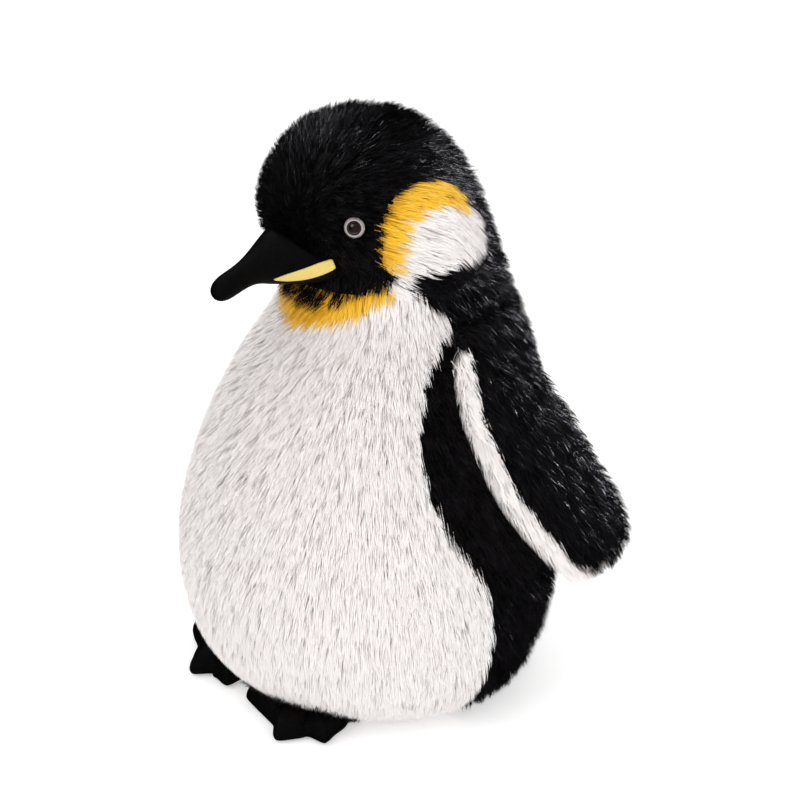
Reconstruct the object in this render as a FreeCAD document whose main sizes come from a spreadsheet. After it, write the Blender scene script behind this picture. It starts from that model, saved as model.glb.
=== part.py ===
"""A sitting plush penguin: padded fabric panels over stuffing; the head, flippers and feet move on the torso.

Units are millimetres. The penguin rests on Z = 0 and faces -Y, so its left side is +X.
Every size is a cell of the spreadsheet "size"; the objects below are bound to those cells.
Outer surfaces are the mean height of the pile, not the tips of the hairs.
"""
import FreeCAD, Part
import math
import os

import Sketcher

Vector = FreeCAD.Vector
Rotation = FreeCAD.Rotation

# One row per cross section, from the bottom up: level, centre (towards the back), half depth, half width.
TORSO = [
    (0, 18, 84, 84),
    (14, 11, 106, 106),
    (36, 4, 122, 122),
    (70, 1, 133, 132.5),
    (115, 1, 137, 136),
    (165, 4, 130.5, 130),
    (214, 10, 117, 116),
    (252, 18, 103, 101),
    (282, 24, 88, 85.5),
    (312, 22.5, 79, 76),
]
HEAD = [
    (312.4, 22.5, 79, 76),
    (330, 16, 78, 75),
    (356, 5, 79, 75.5),
    (385, -1, 71, 68),
    (405, -2.5, 58, 56),
    (418, -3, 43, 42),
    (425, -3, 28, 27),
    (428, -3, 12, 11.5),
]
# Beak, from inside the head to the tip: distance to the front, middle height, half width, half height.
BEAK = [
    (50, 338, 43, 22),
    (58, 338, 37, 22),
    (66, 337.5, 30, 21),
    (74, 336.5, 23, 19),
    (82, 335, 16.5, 16.5),
    (90, 332.5, 12.7, 12.5),
    (98, 329, 10.2, 10),
    (109, 323.8, 9.3, 9.2),
    (118, 320.6, 8.3, 8.1),
    (122.5, 319.6, 5.5, 5.2),
    (124, 319.4, 2.6, 2.5),
]
# Flipper, from above the shoulder down to the tip:
# distance down, shift to the back, half width, half thickness.
FLIPPER = [
    (-8, 2, 22, 3.5),
    (-4, 2, 27, 7),
    (2, 1.5, 29, 8.6),
    (28, -6, 33, 11.5),
    (57, -8.5, 37, 13),
    (87, -8, 40, 13.5),
    (117, -6, 40, 13.5),
    (145, -1, 38, 12.8),
    (168, 1.5, 33, 11),
    (181, 1, 24, 8),
    (186.5, 1, 13, 4.5),
]
# Toes of one foot: direction (degrees outward from straight ahead),
# reach from the middle of the foot, half width.
TOES = [
    (-57, 51, 13.5),
    (13, 42, 18.5),
    (75, 47, 17),
]

CELLS = {
    # fabric and stuffing
    "pile": 9,
    "neck_gap": 0.4,
    "base_thickness": 6,
    "beak_skin": 1.6,
    "foot_skin": 2,
    "foot_gap": 0.7,
    # where the black back panels meet the white belly, seen from the side (y, z)
    "side_base_y": 5, "side_base_z": 0,
    "side_low_y": 17, "side_low_z": 60,
    "side_waist_y": 3, "side_waist_z": 131,
    "side_inlet_y": -29, "side_inlet_z": 205,
    "side_wing_y": 3, "side_wing_z": 279,
    "side_shoulder_y": 17, "side_shoulder_z": 292,
    "side_collar_y": 3, "side_collar_z": 307,
    "side_neck_y": -12, "side_neck_z": 314,
    "front_high_y": -200, "front_high_z": 320,
    "front_low_y": -200, "front_low_z": 0,
    # lower edge of the throat bib, seen from the front (x, z)
    "bib_side_x": -63, "bib_side_z": 314,
    "bib_bottom_x": 0, "bib_bottom_z": 285,
    "bib_far_x": 63, "bib_far_z": 314,
    # white patch behind the cheek, seen from the side (y, z)
    "ear_front_y": -20, "ear_front_z": 310,
    "ear_brow_y": -19, "ear_brow_z": 346,
    "ear_arch_y": -12, "ear_arch_z": 369,
    "ear_top_y": 4, "ear_top_z": 375,
    "ear_roof_y": 22, "ear_roof_z": 373,
    "ear_back_y": 38, "ear_back_z": 366,
    "ear_tail_y": 51, "ear_tail_z": 352,
    "ear_heel_y": 30, "ear_heel_z": 334,
    "ear_sole_y": -9, "ear_sole_z": 331,
    "ear_root_y": -12, "ear_root_z": 310,
    # yellow crescent in front of and above the white patch (y, z)
    "crest_tip_y": -21, "crest_tip_z": 326,
    "crest_front_y": -32, "crest_front_z": 356,
    "crest_brow_y": -26, "crest_brow_z": 377,
    "crest_arch_y": -14, "crest_arch_z": 388,
    "crest_top_y": 6, "crest_top_z": 391,
    "crest_slope_y": 26, "crest_slope_z": 385,
    "crest_end_y": 39, "crest_end_z": 366,
    "crest_inner_y": 5, "crest_inner_z": 345,
    # other head panels
    "gusset_half_width": 22,
    "chin_height": 330,
    "chin_back_y": -12,
    # eyes
    "eye_x": 55.2, "eye_y": -46.5, "eye_z": 366,
    "eye_turn": 50, "eye_tilt": 8,
    "eye_dome_radius": 4.8,
    "eye_ring_radius": 6.9,
    "eye_ring_height": 2.4,
    "eye_shank_radius": 2.2,
    "eye_shank_length": 13,
    "eye_washer_radius": 8,
    "eye_washer_thickness": 1.6,
    "eye_fit": 0.15,
    "eye_room_depth": 14,
    # mouth line and the stripe beside it, seen from the side (y, z)
    "mouth_root_y": -45, "mouth_root_z": 341,
    "mouth_curve_y": -61, "mouth_curve_z": 328,
    "mouth_bend_y": -76, "mouth_bend_z": 323,
    "mouth_tip_y": -130, "mouth_tip_z": 316,
    "sky_front_y": -130, "sky_front_z": 370,
    "sky_back_y": -45, "sky_back_z": 370,
    "stripe_tip_y": -84, "stripe_tip_z": 325,
    "stripe_top_y": -69, "stripe_top_z": 334,
    "stripe_end_y": -55, "stripe_end_z": 342,
    "stripe_heel_y": -53.5, "stripe_heel_z": 336,
    "stripe_low_y": -66, "stripe_low_z": 326,
    "stripe_thickness": 1.2,
    # flippers
    "shoulder_x": 92.5, "shoulder_y": 34, "shoulder_z": 288,
    "flipper_flare": 21.8,
    "flipper_sweep": 17.8,
    "flipper_pile": 6,
    "flipper_core": 0.45,
    "flipper_cap": 4,
    "flipper_gap": 1,
    "flipper_split_tilt": 6.5,
    "flipper_split_shift": 4,
    # feet
    "foot_x": 54, "foot_y": -84,
    "foot_middle_height": 9,
    "toe_half_height": 10.5,
    "toe_overlap": 8,
    "palm_half_width": 37,
    "palm_half_length": 26,
    "palm_half_height": 9,
    "palm_shift": 6,
    # the seam that each foot turns about, and how far its toes lift
    "seam_y": -62, "seam_z": 5,
    "toe_lift": 20,
    "sole_thickness": 2,
    # large blocks used only to split the solids
    "block": 500,
}
STATIONS = {
    "torso": (TORSO, ("level", "centre", "deep", "wide")),
    "head": (HEAD, ("level", "centre", "deep", "wide")),
    "beak": (BEAK, ("reach", "middle", "wide", "tall")),
    "flipper": (FLIPPER, ("drop", "shift", "wide", "thick")),
    "toe": (TOES, ("turn", "reach", "wide")),
}
for prefix, (rows, columns) in STATIONS.items():
    for number, row in enumerate(rows):
        for column, value in zip(columns, row):
            CELLS[f"{prefix}_{column}_{number}"] = value

doc = FreeCAD.newDocument("penguin")
sheet = doc.addObject("Spreadsheet::Sheet", "size")
for line, (alias, value) in enumerate(CELLS.items(), start=1):
    sheet.set(f"A{line}", alias)
    sheet.set(f"B{line}", str(value))
    sheet.setAlias(f"B{line}", alias)
doc.recompute()


def bind(thing, **expressions):
    """Bind properties to expressions; two underscores in a name stand for a dot."""
    for name, expression in expressions.items():
        thing.setExpression(name.replace("__", "."), expression)


def place(thing, x=None, y=None, z=None):
    """Bind the position of an object, one coordinate at a time."""
    for axis, expression in (("x", x), ("y", y), ("z", z)):
        if expression is not None:
            thing.setExpression(f".Placement.Base.{axis}", expression)


def add(kind, name):
    return doc.addObject(kind, name)


def cut(name, base, tool):
    result = add("Part::Cut", name)
    result.Base = base
    result.Tool = tool
    return result


def common(name, base, tool):
    result = add("Part::Common", name)
    result.Base = base
    result.Tool = tool
    return result


def fuse(name, shapes):
    result = add("Part::MultiFuse", name)
    result.Shapes = shapes
    return result


def mirror(name, source):
    """The same piece on the penguin's right side."""
    result = add("Part::Mirroring", name)
    result.Source = source
    result.Normal = Vector(1, 0, 0)
    return result


def block(name, length, width, height, x, y, z):
    """A box bound by expressions, used to split a solid."""
    result = add("Part::Box", name)
    bind(result, Length=length, Width=width, Height=height)
    place(result, x, y, z)
    return result


def loft(name, sections):
    result = add("Part::Loft", name)
    result.Sections = sections
    result.Solid = True
    return result


def upright_stack(name, prefix, grow="0", top_drop="0"):
    """Loft level ellipses into a rounded body; grow is added to every radius."""
    count = len(STATIONS[prefix][0])
    sections = []
    for i in range(count):
        ring = add("Part::Ellipse", f"{name}_ring_{i}")
        bind(
            ring,
            MajorRadius=f"size.{prefix}_deep_{i} + {grow}",
            MinorRadius=f"size.{prefix}_wide_{i} + {grow}",
        )
        ring.Placement.Rotation = Rotation(Vector(0, 0, 1), 90)
        level = f"size.{prefix}_level_{i} - ({top_drop}) * {i} / {count - 1}"
        place(ring, y=f"size.{prefix}_centre_{i}", z=level)
        sections.append(ring)
    return loft(name, sections)


def beak_stack(name, grow="0"):
    """Loft ellipses that face forward into the beak."""
    sections = []
    for i in range(len(BEAK)):
        ring = add("Part::Ellipse", f"{name}_ring_{i}")
        bind(
            ring,
            MajorRadius=f"size.beak_wide_{i} + {grow}",
            MinorRadius=f"size.beak_tall_{i} + {grow}",
        )
        ring.Placement.Rotation = Rotation(Vector(1, 0, 0), 90)
        reach = f"size.beak_reach_{i} + ({grow}) * {i} / {len(BEAK) - 1}"
        place(ring, y=f"-({reach})", z=f"size.beak_middle_{i}")
        sections.append(ring)
    return loft(name, sections)


def flipper_stack(name, thin="1", inset="0"):
    """Loft level ellipses into a blade that hangs from the shoulder at the origin."""
    last = len(FLIPPER) - 1
    sections = []
    for i in range(len(FLIPPER)):
        ring = add("Part::Ellipse", f"{name}_ring_{i}")
        bind(
            ring,
            MajorRadius=f"size.flipper_wide_{i} * (1 - ({inset}) / size.flipper_wide_5)",
            MinorRadius=f"size.flipper_thick_{i} * {thin}",
        )
        ring.Placement.Rotation = Rotation(Vector(0, 0, 1), 90)
        place(
            ring,
            y=f"size.flipper_shift_{i}",
            z=f"-size.flipper_drop_{i} - ({inset}) * {1 - 2 * i / last}",
        )
        sections.append(ring)
    return loft(name, sections)


def plane_of(body, role):
    """One of the three origin planes of a body."""
    return [feature for feature in body.Origin.OriginFeatures if feature.Role == role][0]


def new_sketch(body, name, role):
    sketch = body.newObject("Sketcher::SketchObject", name)
    sketch.AttachmentSupport = [(plane_of(body, role), "")]
    sketch.MapMode = "FlatFace"
    return sketch


def pin_point(sketch, geometry, end, name, across, along):
    """Fix one point of a sketch at two spreadsheet cells."""
    for kind, alias in (("DistanceX", across), ("DistanceY", along)):
        number = sketch.addConstraint(Sketcher.Constraint(kind, -1, 1, geometry, end, CELLS[alias]))
        sketch.renameConstraint(number, f"{name}_{kind}")
        sketch.setExpression(f"Constraints.{name}_{kind}", f"size.{alias}")


def zone(name, role, axes, edges, length):
    """Pad an outline into a block that picks out one panel.

    Each edge is (start, via): a straight edge when via is None, otherwise an arc through via.
    Both name a pair of cells, such as side_low_y and side_low_z.
    """
    body = add("PartDesign::Body", name)
    sketch = new_sketch(body, f"{name}_outline", role)

    def cells(prefix):
        return [f"{prefix}_{axis}" for axis in axes]

    def point(prefix):
        across, along = cells(prefix)
        return Vector(CELLS[across], CELLS[along], 0)

    for number, (start, via) in enumerate(edges):
        end = edges[(number + 1) % len(edges)][0]
        if via is None:
            curve = Part.LineSegment(point(start), point(end))
        else:
            curve = Part.Arc(point(start), point(via), point(end))
        edge = sketch.addGeometry(curve)
        # An arc may run backwards, so the end nearest the start point is looked up.
        first = 1 if sketch.getPoint(edge, 1).distanceToPoint(point(start)) < 0.001 else 2
        pin_point(sketch, edge, first, f"{start}_from", *cells(start))
        pin_point(sketch, edge, 3 - first, f"{end}_to", *cells(end))
        if via is not None:
            marker = sketch.addGeometry(Part.Point(point(via)), True)
            pin_point(sketch, marker, 1, f"{via}_on", *cells(via))
            sketch.addConstraint(Sketcher.Constraint("PointOnObject", marker, 1, edge))
    doc.recompute()

    pad = body.newObject("PartDesign::Pad", f"{name}_pad")
    pad.Profile = sketch
    bind(pad, Length=length)
    doc.recompute()
    return body


# --- torso -------------------------------------------------------------------------------------------
torso_outer = upright_stack("torso_outer", "torso")
torso_inner = upright_stack("torso_inner", "torso", grow="-size.pile")
base_slab = block(
    "base_slab", "size.block", "size.block", "size.base_thickness", "-size.block / 2", "-size.block / 2", "0"
)
belly_zone = zone(
    "belly_zone",
    "YZ_Plane",
    "yz",
    [
        ("side_base", "side_low"),
        ("side_waist", "side_inlet"),
        ("side_wing", None),
        ("side_shoulder", None),
        ("side_collar", None),
        ("side_neck", None),
        ("front_high", None),
        ("front_low", None),
    ],
    "size.block",
)
place(belly_zone, x="-size.block / 2")
bib_zone = zone(
    "bib_zone",
    "XZ_Plane",
    "xz",
    [("bib_side", "bib_bottom"), ("bib_far", None)],
    "size.block / 2",
)
torso_skin = cut("torso_skin", cut("torso_tube", torso_outer, torso_inner), base_slab)
front_skin = common("front_skin", torso_skin, belly_zone)
back_skin = cut("back_skin", torso_skin, belly_zone)
left_half = block(
    "left_half", "size.block", "size.block * 2", "size.block * 2", "0", "-size.block", "-size.block"
)

base_panel = common("base_panel", torso_outer, base_slab)
torso_stuffing = cut("torso_stuffing", torso_inner, base_slab)
belly_panel = cut("belly_panel", front_skin, bib_zone)
throat_bib = common("throat_bib", front_skin, bib_zone)
left_back_panel = common("left_back_panel", back_skin, left_half)

# --- head --------------------------------------------------------------------------------------------
head_outer = upright_stack("head_outer", "head")
head_inner = upright_stack("head_inner", "head", grow="-size.pile", top_drop="size.pile")
ear_zone = zone(
    "ear_zone",
    "YZ_Plane",
    "yz",
    [
        ("ear_front", None),
        ("ear_brow", "ear_arch"),
        ("ear_top", "ear_roof"),
        ("ear_back", "ear_tail"),
        ("ear_heel", None),
        ("ear_sole", None),
        ("ear_root", None),
    ],
    "size.block / 2",
)
crest_zone = zone(
    "crest_zone",
    "YZ_Plane",
    "yz",
    [
        ("crest_tip", "crest_front"),
        ("crest_brow", "crest_arch"),
        ("crest_top", "crest_slope"),
        ("crest_end", None),
        ("crest_inner", None),
    ],
    "size.block / 2",
)
chin_zone = block(
    "chin_zone",
    "size.block",
    "size.block",
    "size.chin_height",
    "-size.block / 2",
    "size.chin_back_y - size.block",
    "0",
)
gusset_zone = block(
    "gusset_zone",
    "2 * size.gusset_half_width",
    "size.block",
    "size.block",
    "-size.gusset_half_width",
    "-size.block / 2",
    "0",
)
side_zone = block(
    "side_zone",
    "size.block",
    "size.block * 2",
    "size.block * 2",
    "size.gusset_half_width",
    "-size.block",
    "-size.block",
)
head_skin = cut("head_skin", head_outer, head_inner)
left_patch = common("left_patch", head_skin, fuse("left_patch_zone", [ear_zone, crest_zone]))
left_cheek_white = common("left_cheek_white", left_patch, ear_zone)
left_cheek_yellow = cut("left_cheek_yellow", left_patch, ear_zone)
half_black_skin = cut("half_black_skin", head_skin, left_patch)
black_skin = cut("black_skin", half_black_skin, mirror("right_patch", left_patch))
chin_panel = common("chin_panel", black_skin, chin_zone)
crown_skin = cut("crown_skin", black_skin, chin_zone)
head_gusset = common("head_gusset", crown_skin, gusset_zone)

# --- eyes --------------------------------------------------------------------------------------------
# Each eye piece is built about its own Z axis, which points straight out of the eye.
EYE_FRAME = (
    "placement(vector(size.eye_x; size.eye_y; size.eye_z); vector(0; 0; 1); size.eye_turn)"
    " * placement(vector(0; 0; 0); vector(1; 0; 0); 90 - size.eye_tilt)"
)


def disc(name, radius, height, start):
    result = add("Part::Cylinder", name)
    bind(result, Radius=radius, Height=height)
    place(result, z=start)
    return result


def in_frame(shape, frame):
    bind(shape, Placement=frame)
    return shape


dome_cap = add("Part::Sphere", "dome_cap")
dome_cap.Angle1 = 0
bind(dome_cap, Radius="size.eye_dome_radius")
dome_shank = disc("dome_shank", "size.eye_shank_radius", "size.eye_shank_length", "-size.eye_shank_length")
left_eye_dome = in_frame(fuse("left_eye_dome", [dome_cap, dome_shank]), EYE_FRAME)

ring_bevel = add("Part::Cone", "ring_bevel")
bind(
    ring_bevel,
    Radius1="size.eye_ring_radius",
    Radius2="size.eye_ring_radius - 1.2",
    Height="size.eye_ring_height",
)
ring_hole = disc(
    "ring_hole", "size.eye_dome_radius + size.eye_fit", "size.eye_ring_height * 3", "-size.eye_ring_height"
)
left_eye_ring = in_frame(cut("left_eye_ring", ring_bevel, ring_hole), EYE_FRAME)

washer_start = "0.8 - size.eye_shank_length"
washer_disc = disc("washer_disc", "size.eye_washer_radius", "size.eye_washer_thickness", washer_start)
washer_hole = disc(
    "washer_hole", "size.eye_shank_radius + size.eye_fit", "size.block / 10", "-size.block / 20"
)
left_eye_washer = in_frame(cut("left_eye_washer", washer_disc, washer_hole), EYE_FRAME)

# Clearance for the eye: a seat for the ring, a hole for the shank, and room for the washer behind.
seat = disc("seat", "size.eye_ring_radius + size.eye_fit", "size.block / 20", "0")
shank_hole = disc(
    "shank_hole", "size.eye_shank_radius + size.eye_fit", "size.block / 20", "2 - size.block / 20"
)
left_eye_seat = in_frame(fuse("left_eye_seat", [seat, shank_hole]), EYE_FRAME)
left_eye_room = in_frame(
    disc("left_eye_room", "size.eye_washer_radius + size.eye_fit", "size.block / 20", "0"),
    EYE_FRAME + " * placement(vector(0; 0; -size.eye_room_depth); vector(0; 0; 1); 0)",
)

left_side_skin = common("left_side_skin", crown_skin, side_zone)
left_head_side = cut("left_head_side", left_side_skin, left_eye_seat)
left_hollow = cut("left_hollow", head_inner, left_eye_room)
head_stuffing = cut("head_stuffing", left_hollow, mirror("right_eye_room", left_eye_room))

# --- beak --------------------------------------------------------------------------------------------
beak_outer = beak_stack("beak_outer")
beak_inner = beak_stack("beak_inner", grow="-size.beak_skin")
beak_swollen = beak_stack("beak_swollen", grow="size.stripe_thickness")
mouth_zone = zone(
    "mouth_zone",
    "YZ_Plane",
    "yz",
    [
        ("mouth_root", "mouth_curve"),
        ("mouth_bend", None),
        ("mouth_tip", None),
        ("sky_front", None),
        ("sky_back", None),
    ],
    "size.block",
)
place(mouth_zone, x="-size.block / 2")
stripe_zone = zone(
    "stripe_zone",
    "YZ_Plane",
    "yz",
    [("stripe_tip", "stripe_top"), ("stripe_end", None), ("stripe_heel", "stripe_low")],
    "size.block / 2",
)
beak_body = cut("beak_body", beak_outer, head_outer)
beak_shell = cut("beak_shell", beak_body, beak_inner)
beak_upper = common("beak_upper", beak_shell, mouth_zone)
beak_lower = cut("beak_lower", beak_shell, mouth_zone)
beak_stuffing = cut("beak_stuffing", beak_inner, head_outer)
stripe_slab = common("stripe_slab", beak_swollen, stripe_zone)
left_beak_stripe = cut("left_beak_stripe", cut("stripe_layer", stripe_slab, beak_outer), head_outer)

# --- flippers ----------------------------------------------------------------------------------------
# The blade is built hanging from the origin; X is its thickness, Y its width.
SHOULDER_FRAME = (
    "placement(vector(size.shoulder_x; size.shoulder_y; size.shoulder_z); vector(0; 1; 0);"
    " -size.flipper_flare)"
    " * placement(vector(0; 0; 0); vector(1; 0; 0); size.flipper_sweep)"
)
blade_outer = flipper_stack("blade_outer")
blade_inner = flipper_stack("blade_inner", thin="size.flipper_core", inset="size.flipper_pile")
blade_skin = cut("blade_skin", blade_outer, blade_inner)
blade_cap = block(
    "blade_cap",
    "size.block",
    "size.block",
    "size.block",
    "-size.block / 2",
    "-size.block / 2",
    "-size.flipper_cap",
)
split_block = add("Part::Box", "split_block")
bind(
    split_block,
    Length="size.block",
    Width="size.block",
    Height="size.block",
    Placement="placement(vector(size.flipper_split_shift; 0; 0); vector(0; 0; 1); size.flipper_split_tilt)"
    " * placement(vector(0; -size.block / 2; -size.block * 0.7); vector(0; 0; 1); 0)",
)
black_zone = fuse("black_zone", [split_block, blade_cap])
black_half = in_frame(common("black_half", blade_skin, black_zone), SHOULDER_FRAME)
white_half = in_frame(cut("white_half", blade_skin, black_zone), SHOULDER_FRAME)
flank_clearance = upright_stack("flank_clearance", "torso", grow="size.flipper_gap")
left_flipper_outer = cut("left_flipper_outer", black_half, flank_clearance)
left_flipper_inner = cut("left_flipper_inner", white_half, flank_clearance)
left_flipper_wadding = in_frame(common("left_flipper_wadding", blade_inner, blade_outer), SHOULDER_FRAME)

# --- feet --------------------------------------------------------------------------------------------


def cushion(name, height, width, length, grow, frame):
    """An ellipsoid whose three half sizes all change by grow."""
    result = add("Part::Ellipsoid", name)
    bind(
        result,
        Radius1=f"{height} + {grow}",
        Radius2=f"{width} + {grow}",
        Radius3=f"{length} + {grow}",
        Placement=frame,
    )
    return result


def foot_bulk(name, grow="0"):
    """Three plump toes and the palm that joins them, before the sole is levelled."""
    middle = "placement(vector(size.foot_x; size.foot_y; size.foot_middle_height); vector(0; 0; 1); 0)"
    lobes = []
    for toe in range(len(TOES)):
        turned = f"placement(vector(0; 0; 0); vector(0; 0; 1); size.toe_turn_{toe})"
        ahead = f"(size.toe_overlap - size.toe_reach_{toe}) / 2"
        forward = f"placement(vector(0; {ahead}; 0); vector(0; 0; 1); 0)"
        lobes.append(
            cushion(
                f"{name}_toe_{toe}",
                "size.toe_half_height",
                f"size.toe_wide_{toe}",
                f"(size.toe_reach_{toe} + size.toe_overlap) / 2",
                grow,
                f"{middle} * {turned} * {forward}",
            )
        )
    lobes.append(
        cushion(
            f"{name}_palm",
            "size.palm_half_height",
            "size.palm_half_width",
            "size.palm_half_length",
            grow,
            f"{middle} * placement(vector(0; -size.palm_shift; 0); vector(0; 0; 1); 0)",
        )
    )
    return fuse(name, lobes)


floor_block = block(
    "floor_block",
    "size.block",
    "size.block",
    "size.block",
    "-size.block / 2",
    "-size.block / 2",
    "-size.block",
)
sole_block = block(
    "sole_block",
    "size.block",
    "size.block",
    "size.block",
    "-size.block / 2",
    "-size.block / 2",
    "size.sole_thickness - size.block",
)
# The torso as the foot meets it: level, half way up, and with the toes fully lifted.
torso_sweep = []
for step in range(3):
    torso_shape = upright_stack(f"torso_sweep_{step}", "torso", grow="size.foot_gap")
    turn = f"placement(vector(0; size.seam_y; size.seam_z); vector(1; 0; 0); size.toe_lift * {step} / 2)"
    back = "placement(vector(0; -size.seam_y; -size.seam_z); vector(1; 0; 0); 0)"
    torso_sweep.append(in_frame(torso_shape, f"{turn} * {back}"))
foot_outer = foot_bulk("foot_outer")
foot_inner = foot_bulk("foot_inner", grow="-size.foot_skin")
foot = cut("level_foot", foot_outer, floor_block)
for step, torso_shape in enumerate(torso_sweep):
    foot = cut(f"clear_foot_{step}", foot, torso_shape)
foot_above_sole = cut("foot_above_sole", foot, sole_block)
left_foot_sole = common("left_foot_sole", foot, sole_block)
left_foot_upper = cut("left_foot_upper", foot_above_sole, foot_inner)
left_foot_stuffing = common("left_foot_stuffing", foot_above_sole, foot_inner)

# --- pieces ------------------------------------------------------------------------------------------
pieces = [
    base_panel,
    torso_stuffing,
    belly_panel,
    throat_bib,
    chin_panel,
    head_gusset,
    head_stuffing,
    beak_upper,
    beak_lower,
    beak_stuffing,
]
left_pieces = [
    left_back_panel,
    left_cheek_white,
    left_cheek_yellow,
    left_head_side,
    left_eye_dome,
    left_eye_ring,
    left_eye_washer,
    left_beak_stripe,
    left_flipper_outer,
    left_flipper_inner,
    left_flipper_wadding,
    left_foot_sole,
    left_foot_upper,
    left_foot_stuffing,
]
pieces += left_pieces
for left_piece in left_pieces:
    pieces.append(mirror(left_piece.Name.replace("left_", "right_"), left_piece))
doc.recompute()

for thing in doc.Objects:
    if "Invalid" in thing.State or "Error" in thing.State:
        raise RuntimeError(f"{thing.Name} did not rebuild: {thing.State}")
os.makedirs("parts", exist_ok=True)
for piece in pieces:
    piece.Label = piece.Name
    shape = piece.Shape
    if shape.isNull() or not shape.isValid():
        raise RuntimeError(f"{piece.Name} has no sound shape")
    shape.exportStep(f"parts/{piece.Label}.step")
    box = shape.optimalBoundingBox()
    print(
        f"{piece.Label}: {len(shape.Solids)} solid, {shape.Volume / 1000:.1f} cm3, "
        f"x {box.XMin:.1f} to {box.XMax:.1f}, y {box.YMin:.1f} to {box.YMax:.1f}, "
        f"z {box.ZMin:.1f} to {box.ZMax:.1f}"
    )
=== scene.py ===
"""A plush penguin with long pile: soft cores, real strands of fur, velvet feet and beak, plastic eyes.

Lengths are in metres, in the frame of the CAD: +Z up, the beak points to -Y, the penguin's left is +X.
"""

import functools
import math

import bpy
import numpy as np
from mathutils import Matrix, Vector
from mathutils.bvhtree import BVHTree


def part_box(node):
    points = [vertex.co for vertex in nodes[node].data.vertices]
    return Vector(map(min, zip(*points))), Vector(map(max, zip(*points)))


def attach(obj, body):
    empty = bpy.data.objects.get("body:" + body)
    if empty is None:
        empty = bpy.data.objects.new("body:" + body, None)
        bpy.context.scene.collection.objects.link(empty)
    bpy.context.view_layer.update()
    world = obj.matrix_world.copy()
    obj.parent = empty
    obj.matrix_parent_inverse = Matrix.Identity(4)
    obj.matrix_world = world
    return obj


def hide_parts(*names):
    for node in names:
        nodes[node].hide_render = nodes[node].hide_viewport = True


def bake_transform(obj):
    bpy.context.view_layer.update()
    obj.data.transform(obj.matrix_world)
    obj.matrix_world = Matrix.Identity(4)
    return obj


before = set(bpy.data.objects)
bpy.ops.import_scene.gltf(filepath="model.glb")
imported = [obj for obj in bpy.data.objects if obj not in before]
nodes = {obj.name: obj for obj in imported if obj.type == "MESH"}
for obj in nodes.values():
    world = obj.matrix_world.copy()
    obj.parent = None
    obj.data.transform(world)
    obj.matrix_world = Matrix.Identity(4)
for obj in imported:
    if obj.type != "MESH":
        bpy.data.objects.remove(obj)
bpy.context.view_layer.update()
random = np.random.default_rng(7)

SIDES = ("left_", "right_")
DOWNWARD = np.array([0.0, 0.0, -1.0])
BEAK_ROOT = np.array([0.0, -0.068, 0.335])


# --- materials ---------------------------------------------------------------------------------------
def new_material(name, roughness, sheen=0.0, sheen_tint=(1, 1, 1), coat=0.0, specular=0.5):
    """A material with constant finish values; returns it with its node tree and its shader."""
    material = bpy.data.materials.new(name)
    material.use_nodes = True
    tree = material.node_tree
    shader = tree.nodes["Principled BSDF"]
    shader.inputs["Roughness"].default_value = roughness
    shader.inputs["Sheen Weight"].default_value = sheen
    shader.inputs["Sheen Tint"].default_value = (*sheen_tint, 1)
    shader.inputs["Coat Weight"].default_value = coat
    shader.inputs["Specular IOR Level"].default_value = specular
    return material, tree, shader


def colour_ramp(tree, source, stops):
    """Feed a value through a ramp of (position, colour) stops."""
    ramp = tree.nodes.new("ShaderNodeValToRGB")
    elements = ramp.color_ramp.elements
    elements[0].position, elements[0].color = stops[0][0], (*stops[0][1], 1)
    elements[1].position, elements[1].color = stops[-1][0], (*stops[-1][1], 1)
    for position, colour in stops[1:-1]:
        elements.new(position).color = (*colour, 1)
    tree.links.new(source, ramp.inputs["Fac"])
    return ramp.outputs["Color"]


def attribute(tree, name):
    node = tree.nodes.new("ShaderNodeAttribute")
    node.attribute_name = name
    return node.outputs["Fac"]


def mix(tree, factor, first, colour):
    """Mix one colour output with a constant colour."""
    node = tree.nodes.new("ShaderNodeMix")
    node.data_type = "RGBA"
    tree.links.new(factor, node.inputs["Factor"])
    tree.links.new(first, node.inputs["A"])
    node.inputs["B"].default_value = (*colour, 1)
    return node.outputs["Result"]


def noise(tree, scale, detail):
    texture = tree.nodes.new("ShaderNodeTexNoise")
    coordinates = tree.nodes.new("ShaderNodeTexCoord")
    texture.inputs["Scale"].default_value = scale
    texture.inputs["Detail"].default_value = detail
    tree.links.new(coordinates.outputs["Object"], texture.inputs["Vector"])
    return texture.outputs["Fac"]


def bump(tree, shader, height, distance):
    node = tree.nodes.new("ShaderNodeBump")
    node.inputs["Strength"].default_value = BUMP_STRENGTH
    node.inputs["Distance"].default_value = distance
    tree.links.new(height, node.inputs["Height"])
    tree.links.new(node.outputs["Normal"], shader.inputs["Normal"])


def fur_material(name, root, middle, tip, pale, roughness, specular, sheen=0.0, sheen_tint=(1, 1, 1)):
    """Fur is darker towards each strand's root, a painted shade deep in the pile, and each strand is a
    little paler or darker than the next; on the black pile the paler strands are also painted glints.
    """
    material, tree, shader = new_material(name, roughness, sheen, sheen_tint, specular=specular)
    along = colour_ramp(tree, attribute(tree, "along"), [(0.0, root), (0.5, middle), (1.0, tip)])
    varied = mix(tree, attribute(tree, "shade"), along, pale)
    tree.links.new(varied, shader.inputs["Base Color"])
    return material


# Each fur's root colour is darker than its tip: painted shade deep in the pile.
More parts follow.
